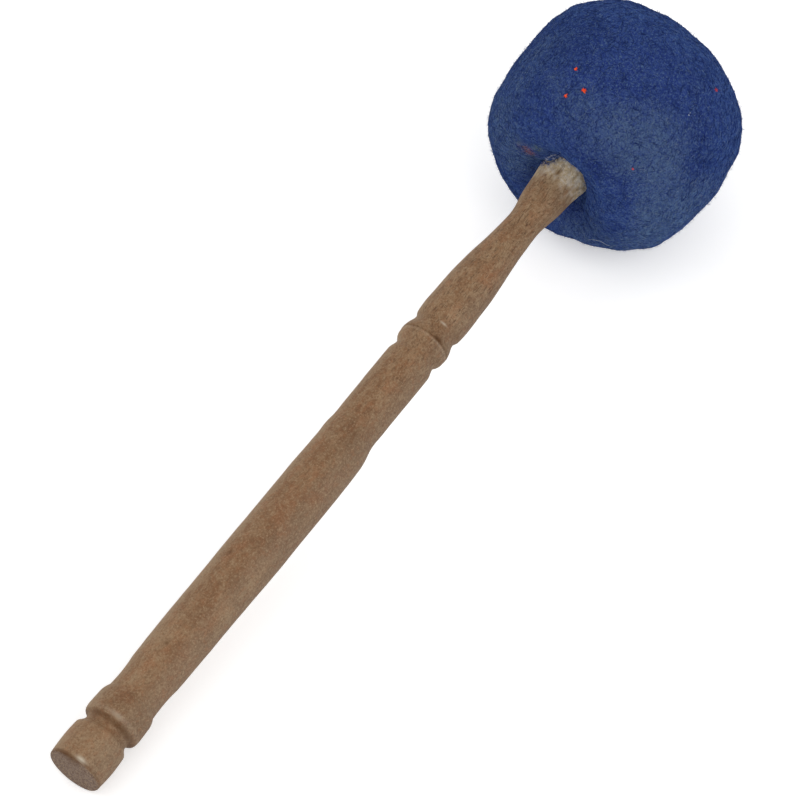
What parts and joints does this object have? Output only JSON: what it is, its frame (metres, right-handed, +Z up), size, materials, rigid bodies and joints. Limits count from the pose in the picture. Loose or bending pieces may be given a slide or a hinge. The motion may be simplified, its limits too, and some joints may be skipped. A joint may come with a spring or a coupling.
{
  "type": "singing bowl mallet",
  "caption": "Felt-headed mallet for a singing bowl: a slim turned hardwood handle with beads and grooves, glued into a large ball of blue felted wool.",
  "frame": {"origin": "on the ground under the middle of the mallet as it lies on its knob and its ball", "axes": "+X along the mallet from the butt towards the head, +Z up; the handle's axis rises 6.09 degrees from the butt to the head in the XZ plane, 2.9 mm to the +Y side of the origin"},
  "size_m": [0.3076, 0.0756, 0.0752],
  "materials": {
    "turned_wood": "pale brown hardwood, turned and sanded, thinly waxed, with fine open grain",
    "dried_glue": "translucent dried glue, thin and uneven, with wool caught in it",
    "core_wool": "felted undyed and mixed waste wool",
    "blue_felt": "dyed blue wool felt, matt, with a short fuzz of swirled fibres"
  },
  "bodies": {
    "root": {"handle": "turned_wood", "dried_glue": "dried_glue", "felt_core": "core_wool", "felt_cover": "blue_felt"}
  },
  "joints": []
}
